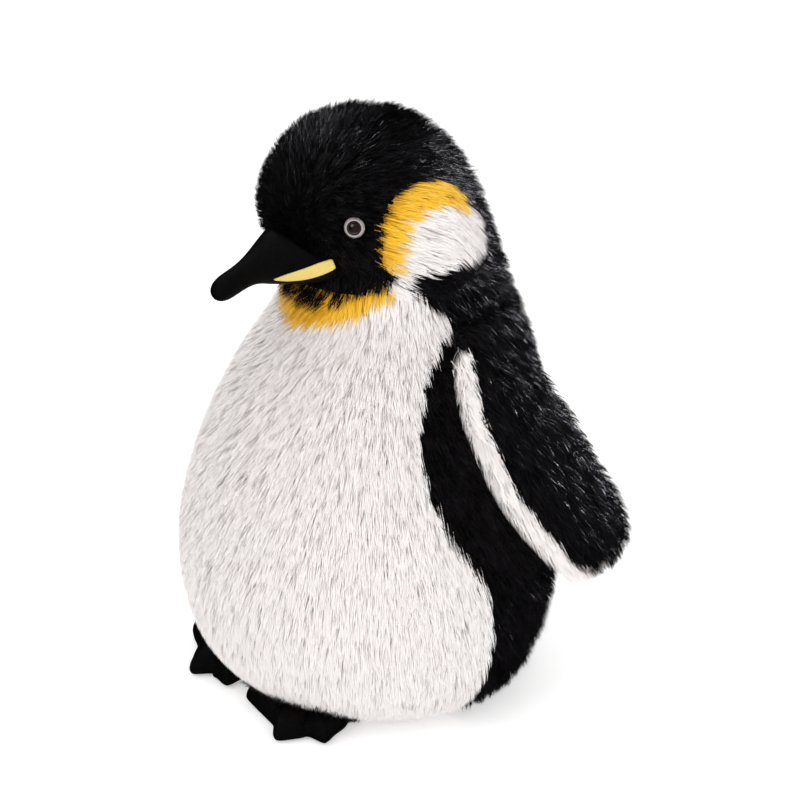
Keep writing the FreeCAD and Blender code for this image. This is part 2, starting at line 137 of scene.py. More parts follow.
WHITE_FUR = fur_material(
    "white_fur",
    root=(0.87, 0.825, 0.805),
    middle=(0.885, 0.845, 0.83),
    tip=(0.90, 0.865, 0.855),
    pale=(0.94, 0.92, 0.91),
    roughness=0.9,
    specular=0.05,
    sheen=0.1,
    sheen_tint=(1, 0.97, 0.96),
)
BLACK_FUR = fur_material(
    "black_fur",
    root=(0.0008, 0.0007, 0.0008),
    middle=(0.0022, 0.0020, 0.0022),
    tip=(0.0045, 0.0040, 0.0045),
    # The black pile's pale colour is lavender: its paler strands are random tone and also painted glints.
    pale=(0.030, 0.027, 0.032),
    roughness=0.22,
    specular=0.2,
)
YELLOW_FUR = fur_material(
    "yellow_fur",
    root=(0.80, 0.38, 0.008),
    middle=(0.92, 0.52, 0.018),
    tip=(0.95, 0.60, 0.035),
    pale=(0.98, 0.78, 0.22),
    roughness=0.65,
    specular=0.15,
)


BUMP_STRENGTH = 0.5
COLOUR_DETAIL, BUMP_DETAIL = 6, 3
DARK_BELOW, LIGHT_ABOVE = 0.3, 0.7
BUMPS_PER_GRAIN = 1.7


def fabric_material(name, dark, light, weave, roughness, sheen, depth, coat=0.0, specular=0.2):
    """Cloth, velvet, felt or plastic: fine mottling in the colour and a fine bump."""
    material, tree, shader = new_material(name, roughness, sheen, coat=coat, specular=specular)
    grain = noise(tree, weave, COLOUR_DETAIL)
    mottled = colour_ramp(tree, grain, [(DARK_BELOW, dark), (LIGHT_ABOVE, light)])
    tree.links.new(mottled, shader.inputs["Base Color"])
    bump(tree, shader, noise(tree, weave * BUMPS_PER_GRAIN, BUMP_DETAIL), depth)
    return material


def backing(name, dark, light, sheen=0.0):
    """The woven cloth that the pile grows from."""
    return fabric_material(name, dark, light, 900, 0.9, sheen, 0.0004)


# Each backing is about as dark as the roots of its pile, and the white one is darker than its roots: painted
# shade under the pile.
WHITE_CLOTH = backing("white_backing", (0.78, 0.73, 0.71), (0.84, 0.79, 0.77), sheen=0.2)
BLACK_CLOTH = backing("black_backing", (0.0008, 0.0007, 0.0008), (0.002, 0.002, 0.002))
YELLOW_CLOTH = backing("yellow_backing", (0.80, 0.38, 0.008), (0.88, 0.46, 0.012))
VELBOA = fabric_material(
    "black_velboa", (0.0010, 0.0009, 0.0009), (0.0045, 0.004, 0.004), 1400, 0.6, 0.0, 0.0003, specular=0.06
)
FELT = fabric_material(
    "pale_yellow_felt", (0.55, 0.40, 0.10), (0.68, 0.54, 0.17), 1800, 0.4, 0.0, 0.0003, specular=0.3
)
PLASTIC = fabric_material(
    "washer_plastic", (0.70, 0.70, 0.70), (0.75, 0.75, 0.75), 300, 0.5, 0.0, 0.0001
)
RING = fabric_material(
    "eye_ring_plastic", (0.30, 0.27, 0.27), (0.40, 0.36, 0.36), 500, 0.4, 0.0, 0.00005
)
DOME = fabric_material(
    "eye_dome_plastic", (0.002, 0.0015, 0.0015), (0.020, 0.015, 0.014), 260, 0.03, 0.0, 0.00001,
    coat=1.0, specular=0.6,
)


# --- mesh helpers ------------------------------------------------------------------------------------
def add_mesh(name, vertices, faces, materials):
    mesh = bpy.data.meshes.new(name)
    mesh.from_pydata(vertices, [], faces)
    for material in materials:
        mesh.materials.append(material)
    obj = bpy.data.objects.new(name, mesh)
    bpy.context.collection.objects.link(obj)
    return obj


def triangles(node):
    """A CAD node's mesh as (vertices, triangles) arrays."""
    mesh = nodes[node].data
    mesh.calc_loop_triangles()
    points = np.empty(len(mesh.vertices) * 3)
    mesh.vertices.foreach_get("co", points)
    corners = np.empty(len(mesh.loop_triangles) * 3, dtype=np.int64)
    mesh.loop_triangles.foreach_get("vertices", corners)
    points = points.reshape(-1, 3)
    world = np.array(nodes[node].matrix_world)
    return points @ world[:3, :3].T + world[:3, 3], corners.reshape(-1, 3)


def weld(points, corners):
    """Merge vertices that share a place, so that normals run smoothly over them."""
    _, first, merged = np.unique(np.round(points, 6), axis=0, return_index=True, return_inverse=True)
    corners = merged.reshape(-1)[corners]
    whole = (corners != np.roll(corners, 1, axis=1)).all(axis=1)
    return points[first], corners[whole]


def unit(vectors):
    return vectors / np.maximum(np.linalg.norm(vectors, axis=-1, keepdims=True), 1e-12)


def joined(meshes):
    """Several (vertices, triangles) meshes as one pair of lists."""
    all_points, all_corners, offset = [], [], 0
    for points, corners in meshes:
        all_points.append(points)
        all_corners.append(corners + offset)
        offset += len(points)
    return np.concatenate(all_points).tolist(), np.concatenate(all_corners).tolist()


def nearest_tree(*names):
    """One search tree over the surfaces of several CAD nodes."""
    return BVHTree.FromPolygons(*joined(triangles(node) for node in names))


SEAM_DEPTH = 0.0009


@functools.cache
def outer_surface(node, group):
    """A panel's triangles that don't lie against the rest of its group, with smooth normals and areas."""
    points, corners = weld(*triangles(node))
    tree = nearest_tree(*[other for other in group if other != node])
    centres = points[corners].mean(axis=1)
    outside = [tree.find_nearest(centre, SEAM_DEPTH)[0] is None for centre in centres]
    corners = corners[np.array(outside)]
    a, b, c = (points[corners[:, i]] for i in range(3))
    area = np.cross(b - a, c - a)
    normals = np.zeros_like(points)
    for i in range(3):
        np.add.at(normals, corners[:, i], area)
    return points, corners, unit(normals), np.linalg.norm(area, axis=1) / 2


def smooth_noise(points, size, seed):
    """A cheap smooth random field, mostly from -1 to 1: a few waves in random directions."""
    waves = np.random.default_rng(seed)
    total = np.zeros(len(points))
    for _ in range(6):
        direction = waves.normal(size=3)
        direction /= np.linalg.norm(direction)
        phase = points @ direction * (2 * math.pi / size) * waves.uniform(0.7, 1.5)
        total += np.sin(phase + waves.uniform(0, 6.28))
    return total / 4


def tangent(directions, normals):
    """The part of each direction that lies in the surface."""
    return unit(directions - normals * np.sum(directions * normals, axis=1, keepdims=True))


# --- fur ---------------------------------------------------------------------------------------------
# untidy: how unlike each other the tufts are; shade: how much their colour varies, which on the black pile
# is partly painted glints.
# glint: how far the shine is tilted at random; round: how round a strand looks.
# lean: degrees from upright at the root and at the tip.
STYLES = {
    WHITE_FUR: {"untidy": 0.2, "shade": 0.08, "glint": 0.0, "round": 0.0, "lean": (34, 72)},
    BLACK_FUR: {"untidy": 1.1, "shade": 0.3, "glint": 0.25, "round": 0.4, "lean": (18, 57)},
    YELLOW_FUR: {"untidy": 0.4, "shade": 0.25, "glint": 0.0, "round": 0.1, "lean": (30, 72)},
}
STRANDS_PER_SQUARE_METRE = 800000
PER_TUFT = 7
TUFT_SPREAD = 0.0021
MOST_STRANDS = 38000
STEPS = 3
STRAND_WIDTH = 0.00044
TAPER = (1, 0.95, 0.7)
# Random turns of the pile, in radians: in slow waves over the surface, from tuft to tuft, and within a tuft.
WAVE_SIZE, WAVE_SEED = 0.025, 11
WAVE_SWING, TUFT_SWING, STRAND_SWING = 0.20, 0.14, 0.13
# Other random shares, as parts of the mean value.
TUFT_LENGTHS, STRAND_LENGTHS, RISES, WIDTHS = 0.08, 0.12, 0.12, 0.25
STRAND_SHADES = 0.25
MOST_TWIST = 0.7
GATHERED = 0.4
LOWEST = 0.0006


def root_points(surface):
    """Places and normals for tufts, spread evenly over a surface."""
    points, corners, normals, areas = surface
    count = int(areas.sum() * STRANDS_PER_SQUARE_METRE / PER_TUFT)
    chosen = random.choice(len(corners), size=count, p=areas / areas.sum())
    u, v = random.random((2, count))
    flip = u + v > 1
    u[flip], v[flip] = 1 - u[flip], 1 - v[flip]
    weights = np.stack([1 - u - v, u, v], axis=1)[:, :, None]
    centre = (points[corners[chosen]] * weights).sum(axis=1)
    normal = unit((normals[corners[chosen]] * weights).sum(axis=1))
    return centre, normal


def turned(lay, side, angles):
    """Directions in a surface, each turned sideways by its own angle."""
    return lay * np.cos(angles)[:, None] + side * np.sin(angles)[:, None]


def fur(name, surface, material, flow, length, lift, lean=None, trim=None, only=None, upstream=0.5):
    """Grow strands in tufts from a surface and return them as a list of meshes.

    flow(points, normals) gives the direction the pile lies in, length(points) the strand length and
    lift(points) how far the tips stand above the surface. only(points) tells where strands grow, and
    trim(strands) which are kept. With upstream at a half, the roots start half a strand upstream, so that
    the edge between two colours lies where the panel's edge is.
    """
    style = STYLES[material]
    glint, untidy = style["glint"], style["untidy"]
    centre, normal = root_points(surface)
    if only is not None:
        kept = only(centre)
        centre, normal = centre[kept], normal[kept]
    count = len(centre)
    high = lift(centre)

    # Every tuft leans its own way.
    lay = flow(centre, normal)
    side = np.cross(normal, lay)
    waves = WAVE_SWING * smooth_noise(centre, WAVE_SIZE, WAVE_SEED)
    swing = untidy * (waves + TUFT_SWING * random.normal(size=count))
    lay = tangent(turned(lay, side, swing), normal)
    long = length(centre) * (1 + TUFT_LENGTHS * random.normal(size=count))
    rise = 1 + RISES * untidy * random.normal(size=count)
    tuft_shade = random.random(count)
    tuft_tilt = random.normal(size=(count, 3)) * glint

    # Strands of a tuft share its values, each with a small change.
    shared = (centre, normal, lay, tuft_tilt, long, rise, tuft_shade, high)
    centre, normal, lay, tuft_tilt, long, rise, tuft_shade, high = (
        np.repeat(values, PER_TUFT, axis=0) for values in shared
    )
    total = len(centre)
    side = np.cross(normal, lay)
    spread = random.normal(size=(total, 2)) * TUFT_SPREAD
    offset = lay * spread[:, :1] + side * spread[:, 1:]
    swing = STRAND_SWING * untidy * random.normal(size=total)
    lay = unit(turned(lay, side, swing))
    long = long * (1 + STRAND_LENGTHS * random.normal(size=total))

    # Walk up the strand: steep at the root, lying over at the tip.
    start, end = (math.radians(angle) for angle in lean or style["lean"])
    path = [np.zeros((total, 3))]
    for step in range(STEPS):
        angle = start + (end - start) * (step + 0.5) / STEPS
        upward = (math.cos(angle) * rise)[:, None] * normal
        path.append(path[-1] + (upward + math.sin(angle) * lay) * (long / STEPS)[:, None])
    height = np.sum(path[-1] * normal, axis=1)
    sideways = np.sum(path[-1] * lay, axis=1)
    base = centre - normal * (height / rise - high)[:, None] - lay * (sideways * upstream)[:, None]

    # Give it a width that tapers to a point, and draw its tip towards the middle of the tuft.
    widths = STRAND_WIDTH * (1 + WIDTHS * random.normal(size=total))
    twist = random.uniform(-MOST_TWIST, MOST_TWIST, size=total)
    across = turned(unit(np.cross(lay, normal)), normal, twist)
    facing = unit(normal + tuft_tilt + random.normal(size=(total, 3)) * glint)
    bulge = style["round"] * across
    rows, shine = [], []
    for step in range(STEPS):
        middle = base + offset * (1 - GATHERED * step / STEPS) + path[step]
        half = across * (widths * TAPER[step] / 2)[:, None]
        rows.append(np.stack([middle - half, middle + half], axis=1))
        shine.append(np.stack([unit(facing - bulge), unit(facing + bulge)], axis=1))
    tip = base + offset * (1 - GATHERED) + path[STEPS]
    strands = np.concatenate([*rows, tip[:, None, :]], axis=1)
    shine = np.concatenate([*shine, facing[:, None, :]], axis=1)
    strands[:, :, 2] = np.maximum(strands[:, :, 2], LOWEST)
    if trim is not None:
        keep = trim(strands)
        strands, shine, tuft_shade = strands[keep], shine[keep], tuft_shade[keep]

    # Cut a large coat into layers, from the lowest roots to the highest, so that no mesh is too heavy.
    parts = math.ceil(len(strands) / MOST_STRANDS)
    order = np.argsort(strands[:, 0, 2])
    coats = []
    for number, chosen in enumerate(np.array_split(order, parts)):
        label = name if parts == 1 else f"{name}_{number + 1}"
        # Each strand's share of the pale colour: random tone, and on the black pile partly painted glints.
        shades = style["shade"] * tuft_shade[chosen] ** 3
        shades = shades + STRAND_SHADES * style["shade"] * random.random(len(chosen))
        coats.append(strand_mesh(label, strands[chosen], shine[chosen], shades, material))
    return coats


# Each strand's cell in the map: its margins across, and where it starts and how far it runs.
CELL_LEFT, CELL_RIGHT, CELL_START, CELL_LENGTH = 0.15, 0.85, 0.1, 0.8


def strand_mesh(name, strands, shine, shades, material):
    """One mesh from many ribbons that taper to a point, with a small map cell for each."""
    total, corners = len(strands), 2 * STEPS + 1
    first = np.arange(total)[:, None] * corners
    quads = np.array([[2 * i, 2 * i + 1, 2 * i + 3, 2 * i + 2] for i in range(STEPS - 1)])
    tip = np.array([2 * STEPS - 2, 2 * STEPS - 1, 2 * STEPS])
    loops = np.concatenate([first + quads.reshape(1, -1), first + tip[None, :]], axis=1).reshape(-1)
    sizes = np.tile([4] * (STEPS - 1) + [3], total)
    starts = np.concatenate([[0], np.cumsum(sizes)[:-1]])
    mesh = bpy.data.meshes.new(name)
    mesh.vertices.add(total * corners)
    mesh.vertices.foreach_set("co", strands.reshape(-1).astype(np.float32))
    mesh.loops.add(len(loops))
    mesh.loops.foreach_set("vertex_index", loops.astype(np.int32))
    mesh.polygons.add(len(sizes))
    mesh.polygons.foreach_set("loop_start", starts.astype(np.int32))
    mesh.polygons.foreach_set("loop_total", sizes.astype(np.int32))
    mesh.polygons.foreach_set("use_smooth", np.ones(len(sizes), dtype=bool))
    mesh.update(calc_edges=True)

    along = np.repeat(np.arange(STEPS + 1), 2)[:corners] / STEPS
    values = {
        "along": np.tile(along, total),
        "shade": np.repeat(shades, corners),
    }
    for key, value in values.items():
        layer = mesh.attributes.new(key, "FLOAT", "POINT")
        layer.data.foreach_set("value", value.astype(np.float32))

    grid = math.ceil(math.sqrt(total))
    cell = np.stack([np.arange(total) % grid, np.arange(total) // grid], axis=1) / grid
    sideways = np.tile([CELL_LEFT, CELL_RIGHT], STEPS + 1)[:corners]
    inside = np.stack([sideways, CELL_START + CELL_LENGTH * along], axis=1) / grid
    inside[-1, 0] = 0.5 / grid
    places = (cell[:, None, :] + inside[None, :, :]).reshape(-1, 2)
    layer = mesh.uv_layers.new(name="OFBake")
    layer.data.foreach_set("uv", places[loops].reshape(-1).astype(np.float32))
    mesh.materials.append(material)
    # Strands are lit like the surface they cover, the glossy ones each tilted a little.
    mesh.normals_split_custom_set_from_vertices(shine.reshape(-1, 3).tolist())
    obj = bpy.data.objects.new(name, mesh)
    bpy.context.collection.objects.link(obj)
    return obj


# --- which way the pile lies, and how long it is -----------------------------------------------------
FACE_REACH = 0.11
NAPE_START = 0.02


def down(points, normals):
    return tangent(np.tile(DOWNWARD, (len(points), 1)), normals)


def up(points, normals):
    return -down(points, normals)


def away_from_beak(points, normals):
    """Back from the beak over the face, then down over the nape and cheeks."""
    back = unit(points - BEAK_ROOT)
    distance = np.linalg.norm(points - BEAK_ROOT, axis=1, keepdims=True)
    near = np.clip(1.25 - distance / FACE_REACH, 0.0, 1.0)
    sink = np.where(points[:, 1] < NAPE_START, -0.1, -0.8)
    over = unit(np.stack([points[:, 0] * 6, np.full(len(points), 0.6), sink], axis=1))
    return tangent(back * near + over * (1 - near) + 0.25 * DOWNWARD, normals)


def along_blade(points, normals):
    """Out and down along a flipper, and a little backward."""
    out = 0.35 * np.sign(points[:, 0])
    blade = np.stack([out, np.full(len(points), 0.33), np.full(len(points), -0.88)], axis=1)
    return tangent(blade, normals)


def constant(amount):
    """A length or a lift that is the same all over."""
    return lambda points: np.full(len(points), amount)


def share(values, start, width):
    """How far values have come from start over a width, from 0 to 1."""
    return np.clip((values - start) / width, 0, 1)


def face_length(points):
    """Short pile round the beak, full length over the rest of the head."""
    reach = np.linalg.norm(points - BEAK_ROOT, axis=1)
    return 0.0070 + 0.0065 * share(reach, 0.030, 0.060)


def chin_length(points):
    """The pile under the beak is longest in the middle."""
    return 0.013 - 0.003 * share(np.abs(points[:, 0]), 0.012, 0.032)


full_length, blade_length, fringe_length = constant(0.0145), constant(0.014), constant(0.009)


# --- cores -------------------------------------------------------------------------------------------
def solid_from(name, sources, voxel, smooth, materials):
    """Join CAD nodes into one closed, evenly meshed and smoothed soft solid."""
    vertices, faces = joined(triangles(source) for source in sources)
    obj = add_mesh(name, vertices, faces, materials)
    remesh = obj.modifiers.new("remesh", "REMESH")
    remesh.mode = "VOXEL"
    remesh.voxel_size = voxel
    soften = obj.modifiers.new("soften", "SMOOTH")
    soften.factor = 0.5
    soften.iterations = smooth
    bpy.context.view_layer.update()
    evaluated = obj.evaluated_get(bpy.context.evaluated_depsgraph_get())
    mesh = bpy.data.meshes.new_from_object(evaluated)
    obj.modifiers.clear()
    obj.data = mesh
    obj.data.materials.clear()
    for material in materials:
        obj.data.materials.append(material)
    for polygon in obj.data.polygons:
        polygon.use_smooth = True
    return obj


def mesh_points(obj):
    points = np.empty(len(obj.data.vertices) * 3)
    obj.data.vertices.foreach_get("co", points)
    return points.reshape(-1, 3)


def mesh_normals(obj):
    normals = np.empty(len(obj.data.vertices) * 3)
    obj.data.vertex_normals.foreach_get("vector", normals)
    return normals.reshape(-1, 3)


def swell(obj, amount):
    """Move each vertex out along its normal."""
    points = mesh_points(obj) + mesh_normals(obj) * amount
    obj.data.vertices.foreach_set("co", points.reshape(-1))
    obj.data.update()


def surface_tree(names, group):
    """One search tree over the outer surfaces of several panels."""
    return BVHTree.FromPolygons(*joined(outer_surface(node, group)[:2] for node in names))


def paint_by_panel(obj, groups, group):
    """Give each face the material slot of the group of panels whose outside is nearest."""
    trees = [surface_tree(names, group) for names in groups]
    for polygon in obj.data.polygons:
        distances = [tree.find_nearest(polygon.center)[3] for tree in trees]
        polygon.material_index = int(np.argmin(distances))


BEAK_PANELS = ["beak_upper", "beak_lower", "beak_stuffing"]
WHITE_PANELS = ["belly_panel", "base_panel", "left_cheek_white", "right_cheek_white"]
BLACK_PANELS = ["left_back_panel", "right_back_panel", "chin_panel", "head_gusset"]
BLACK_PANELS += ["left_head_side", "right_head_side"]
YELLOW_PANELS = ["throat_bib", "left_cheek_yellow", "right_cheek_yellow"]
STUFFING = ["torso_stuffing", "head_stuffing"]
BODY_GROUP = (*WHITE_PANELS, *BLACK_PANELS, *YELLOW_PANELS, *STUFFING, *BEAK_PANELS)
BODY_CLOTHS = [WHITE_CLOTH, BLACK_CLOTH, YELLOW_CLOTH]


def core_swell(points):
    """The cloth stands out more round the beak, where the pile is short, and not at all at the floor."""
    reach = np.linalg.norm(points - BEAK_ROOT, axis=1)
    amount = 0.0022 + 0.0035 * np.clip(1 - (reach - 0.03) / 0.06, 0, 1)
    return amount * share(points[:, 2], 0.004, 0.01)


body_core = solid_from("body_core", [*STUFFING, "base_panel"], 0.004, 6, BODY_CLOTHS)
swell(body_core, core_swell(mesh_points(body_core))[:, None])
paint_by_panel(body_core, [WHITE_PANELS, BLACK_PANELS, YELLOW_PANELS], BODY_GROUP)
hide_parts("torso_stuffing", "head_stuffing", "base_panel")
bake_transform(body_core)


# --- feet --------------------------------------------------------------------------------------------
# The two feet are stuffed and bent a little differently. Each has its middle as (out to the side, forward),
# a (turn outward in degrees, reach, half width) for each toe, and a (turn, reach) for each web between two.
FEET = {
    "left_": {
        "middle": (0.047, 0.075),
        "toes": [(-56, 0.056, 0.0085), (19, 0.046, 0.0115), (67, 0.041, 0.0100)],
        "webs": [(-14, 0.036), (44, 0.0335)],
    },
    "right_": {
        "middle": (0.062, 0.078),
        "toes": [(-50, 0.051, 0.0095), (-11, 0.047, 0.0110), (76, 0.050, 0.0085)],
        "webs": [(-33, 0.0415), (38, 0.0315)],
    },
}
HEEL = [(112, 0.028), (150, 0.022), (210, 0.022), (248, 0.028)]
KNOT_STEPS, FOOT_RINGS = 8, 14
FOOT_HEIGHT, FOOT_SEAM, FOOT_EDGE = 0.0178, 0.0055, 0.0125
CREASE_DEPTH, CREASE_WIDTH, CREASE_END = 0.0034, 0.0030, 0.25
UNDER_BELLY = 0.0005
SOLE_HEIGHT, LEAST_THICKNESS = 0.0003, 0.0002


def closed_curve(knots, between):
    """Points on a smooth closed curve through all knots (Catmull-Rom)."""
    knots = np.array(knots)
    t = np.arange(between)[:, None] / between
    rows = []
    for i in range(len(knots)):
        a, b, c, d = (knots[(i + k) % len(knots)] for k in (-1, 0, 1, 2))
        bend, twist = 2 * a - 5 * b + 4 * c - d, 3 * b - a - 3 * c + d
        rows.append(0.5 * (2 * b + (c - a) * t + bend * t**2 + twist * t**3))
    return np.concatenate(rows)


def distance_to_line(points, start, end):
    """Distance from each point to one straight stretch."""
    start, end = np.array(start), np.array(end)
    along = np.clip((points - start) @ (end - start) / np.dot(end - start, end - start), 0, 1)
    return np.linalg.norm(points - start - along[:, None] * (end - start), axis=1)


def bearing(turn):
    """The direction that many degrees outward from straight ahead, seen from above."""
    return np.array([math.sin(math.radians(turn)), math.cos(math.radians(turn))])


def foot_knots(middle, toes, webs):
    """Knots of a foot's outline: three round each toe, one for each web, and the heel."""
    knots = []
    for number, (turn, reach, half_width) in enumerate(toes):
        ahead, aside = bearing(turn), bearing(turn + 90)
        root = middle + ahead * (reach - half_width)
        knots += [root - aside * half_width, middle + ahead * reach, root + aside * half_width]
        if number < len(webs):
            knots.append(middle + bearing(webs[number][0]) * webs[number][1])
    return knots + [middle + bearing(turn) * reach for turn, reach in HEEL]


def foot_mesh(name, side):
    """A stuffed foot cut from two pieces: a crowned top with creased toes, and a flat sole."""
    mirror = 1 if side == "left_" else -1
    middle = np.array(FEET[side]["middle"])
    outline = closed_curve(foot_knots(middle, FEET[side]["toes"], FEET[side]["webs"]), KNOT_STEPS)
    count = len(outline)
    scales = np.sin(np.linspace(1, 0, FOOT_RINGS + 1)[:-1] * math.pi / 2)
    flat = np.concatenate([middle + (outline - middle) * scale for scale in scales] + [middle[None, :]])
    edges = [distance_to_line(flat, outline[i], outline[(i + 1) % count]) for i in range(count)]
    inward = np.clip(np.min(edges, axis=0) / FOOT_EDGE, 0, 1)
    crown = np.sqrt(1 - (1 - inward) ** 2)
    top = FOOT_SEAM + (FOOT_HEIGHT - FOOT_SEAM) * crown
    for turn, reach in FEET[side]["webs"]:
        start, end = (middle + bearing(turn) * reach * part for part in (1.0, CREASE_END))
        away = distance_to_line(flat, start, end) / CREASE_WIDTH
        top -= CREASE_DEPTH * crown * np.exp(-(away**2))
    belly = nearest_tree("belly_panel", "base_panel")
    for index, (across, ahead) in enumerate(flat):
        above = belly.ray_cast((across * mirror, -ahead, 0), (0, 0, 1))[0]
        if above is not None:
            top[index] = min(top[index], max(above.z - UNDER_BELLY, FOOT_SEAM * 0.6))
    sole = np.minimum(FOOT_SEAM * (1 - crown) ** 1.5 + SOLE_HEIGHT, top - LEAST_THICKNESS)
    sole[:count] = top[:count]
    across, back = flat[:, 0] * mirror, -flat[:, 1]
    upper = np.stack([across, back, top], axis=1)
    lower = np.stack([across, back, sole], axis=1)[count:]
    offset = len(upper) - count
    faces = []
    for layer in (0, 1):
        for ring in range(FOOT_RINGS):
            for i in range(count):
                j = (i + 1) % count
                quad = [ring * count + i, ring * count + j]
                if ring < FOOT_RINGS - 1:
                    quad += [(ring + 1) * count + j, (ring + 1) * count + i]
                else:
                    quad += [FOOT_RINGS * count]
                if layer:
                    quad = [k if k < count else k + offset for k in reversed(quad)]
                faces.append(quad[::-1] if mirror == 1 else quad)
    foot = add_mesh(name, np.concatenate([upper, lower]).tolist(), faces, [VELBOA])
    for polygon in foot.data.polygons:
        polygon.use_smooth = True
    return foot


feet = {}
for side in SIDES:
    body = side + "foot"
    feet[side] = foot_mesh(body + "_plush", side)
    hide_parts(body + "_upper", body + "_sole", body + "_stuffing")
    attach(feet[side], body)


# --- fur on the torso and head -----------------------------------------------------------------------
def eye_axes():
    """Middle and outward direction of each eye, from its CAD ring and washer."""
    axes = []
    for side in SIDES:
        ring = triangles(side + "eye_ring")[0].mean(axis=0)
        washer = triangles(side + "eye_washer")[0].mean(axis=0)
        axes.append((ring, (ring - washer) / np.linalg.norm(ring - washer)))
    return axes


EYES = eye_axes()
EYE_CLEARANCE, EYE_DEPTH = 0.0067, 0.006


def clear_of_eyes(strands):
    """Keep only strands that stay out of the eyes."""
    keep = np.ones(len(strands), dtype=bool)
    for middle, outward in EYES:
        from_eye = strands - middle
        along = from_eye @ outward
        aside = np.linalg.norm(from_eye - along[..., None] * outward, axis=2)
        keep &= ~((aside < EYE_CLEARANCE) & (along > -EYE_DEPTH)).any(axis=1)
    return keep


FOOT_CELL = 0.002
FOOT_REGION = 0.024


def foot_cell(x, y):
    """The grid cell that a place above the floor falls in."""
    return int(x // FOOT_CELL), int(y // FOOT_CELL)


def foot_tops():
    """Height of the feet over a fine grid, for trimming the belly's pile."""
    tops = {}
    for foot in feet.values():
        for x, y, z in mesh_points(foot):
            cell = foot_cell(x, y)
            tops[cell] = max(tops.get(cell, 0), z)
    return tops


TOPS = foot_tops()


def clear_of_feet(strands):
    """Keep only strands that don't run into a foot from above."""
    low = np.nonzero(strands[:, :, 2].min(axis=1) < FOOT_REGION)[0]
    keep = np.ones(len(strands), dtype=bool)
    for index in low:
        for x, y, z in strands[index, 1::2]:
            if z < TOPS.get(foot_cell(x, y), 0):
                keep[index] = False
    return keep


BODY_LIFT, PRESSED_LIFT, PRESSED_REACH = 0.0045, 0.0006, 0.005


def pressed_by_flipper(side):
    """Pile lies low where the flipper rests on it."""
    blade = nearest_tree(side + "flipper_inner", side + "flipper_outer")

    def lift(points):
        high = np.full(len(points), BODY_LIFT)
        for index, point in enumerate(points):
            if blade.find_nearest(point, PRESSED_REACH)[0] is not None:
                high[index] = PRESSED_LIFT
        return high

    return lift


# The black chin ends at a line that is level in the middle and rises to the cheeks.
CHIN_EDGE_HEIGHT, CHIN_EDGE_SLOPE, CHIN_EDGE_LEVEL = 0.300, 0.6, 0.022
# The yellow pile starts a little below the line, so that black hangs over it.
BIB_SETBACK = 0.004
CREST_FOOT = 0.334


def above_chin_edge(points):
    """Height above the line where the black chin meets the yellow bib."""
    rise = CHIN_EDGE_SLOPE * np.clip(np.abs(points[:, 0]) - CHIN_EDGE_LEVEL, 0, None)
    return points[:, 2] - (CHIN_EDGE_HEIGHT + rise)


def on_the_chin(points):
    return above_chin_edge(points) > 0


def on_the_bib(points):
    return above_chin_edge(points) < -BIB_SETBACK


def below_the_crest(points):
    """The black point under the yellow crest."""
    return points[:, 2] < CREST_FOOT


def other_than(test):
    return lambda points: ~test(points)


FRINGE_REACH = 0.007
FOOT_TREES = [BVHTree.FromObject(foot, bpy.context.evaluated_depsgraph_get()) for foot in feet.values()]


def near_any(trees, points, reach):
    """Tell which places lie within reach of a surface."""
    close = [any(tree.find_nearest(point, reach)[0] is not None for tree in trees) for point in points]
    return np.array(close)


def by_a_foot(points):
    """The belly just above the feet."""
    return near_any(FOOT_TREES, points, FRINGE_REACH)


body_lift, face_lift, chin_lift = constant(BODY_LIFT), constant(0.0035), constant(0.0065)
# How much of a strand's reach its root is moved upstream, where that isn't a half.
UPSTREAM = {"foot_fringe": 0.0, "throat_fur": 0.35, "left_crest_fur": 0.2, "right_crest_fur": 0.2}
BODY_FUR = [
    # name, CAD panel, material, flow, length, lift, where it grows, trim
    ("belly_fur", "belly_panel", WHITE_FUR, down, full_length, body_lift, None, clear_of_feet),
    ("foot_fringe", "belly_panel", BLACK_FUR, up, fringe_length, chin_lift, by_a_foot, None),
    ("throat_fur", "throat_bib", YELLOW_FUR, down, full_length, face_lift, on_the_bib, None),
    ("bib_corner_fur", "chin_panel", YELLOW_FUR, down, full_length, face_lift, on_the_bib, None),
    ("throat_edge_fur", "throat_bib", BLACK_FUR, down, chin_length, chin_lift, on_the_chin, None),
    ("chin_fur", "chin_panel", BLACK_FUR, down, chin_length, chin_lift, on_the_chin, None),
    ("crown_fur", "head_gusset", BLACK_FUR, away_from_beak, face_length, face_lift, None, None),
]
HEAD_FUR = [
    ("head_fur", "head_side", BLACK_FUR, face_length, face_lift, None, clear_of_eyes),
    ("ear_fur", "cheek_white", WHITE_FUR, full_length, body_lift, None, None),
    ("crest_fur", "cheek_yellow", YELLOW_FUR, full_length, body_lift, other_than(below_the_crest), None),
    ("crest_foot_fur", "cheek_yellow", BLACK_FUR, face_length, face_lift, below_the_crest, None),
]
for side in SIDES:
    lift = pressed_by_flipper(side)
    BODY_FUR.append((side + "back_fur", side + "back_panel", BLACK_FUR, down, full_length, lift, None, None))
    for name, panel, material, *rest in HEAD_FUR:
        BODY_FUR.append((side + name, side + panel, material, away_from_beak, *rest))
for name, panel, material, flow, length, lift, only, trim in BODY_FUR:
    surface = outer_surface(panel, BODY_GROUP)
    upstream = UPSTREAM.get(name, 0.5)
    for coat in fur(name, surface, material, flow, length, lift, trim=trim, only=only, upstream=upstream):
        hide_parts(panel)
        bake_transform(coat)


# --- flippers ----------------------------------------------------------------------------------------
SEAM_REACH = 0.009
REAR_SHARE, REAR_SLOPE = 0.35, 0.62
FLIPPER_LEAN = (40, 74)


def rear_seam(body, parts):
    """Tells which places lie by the rear edge of a flipper, where the black pile wraps round the edge."""
    black = surface_tree([body + "_outer"], parts)
    low, high = (np.array(corner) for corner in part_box(body + "_inner"))
    depth, height = high[1] - low[1], high[2] - low[2]

    def test(points):
        middle = low[1] + REAR_SHARE * depth + depth / height * REAR_SLOPE * (high[2] - points[:, 2])
        return (points[:, 1] > middle) & near_any([black], points, SEAM_REACH)

    return test


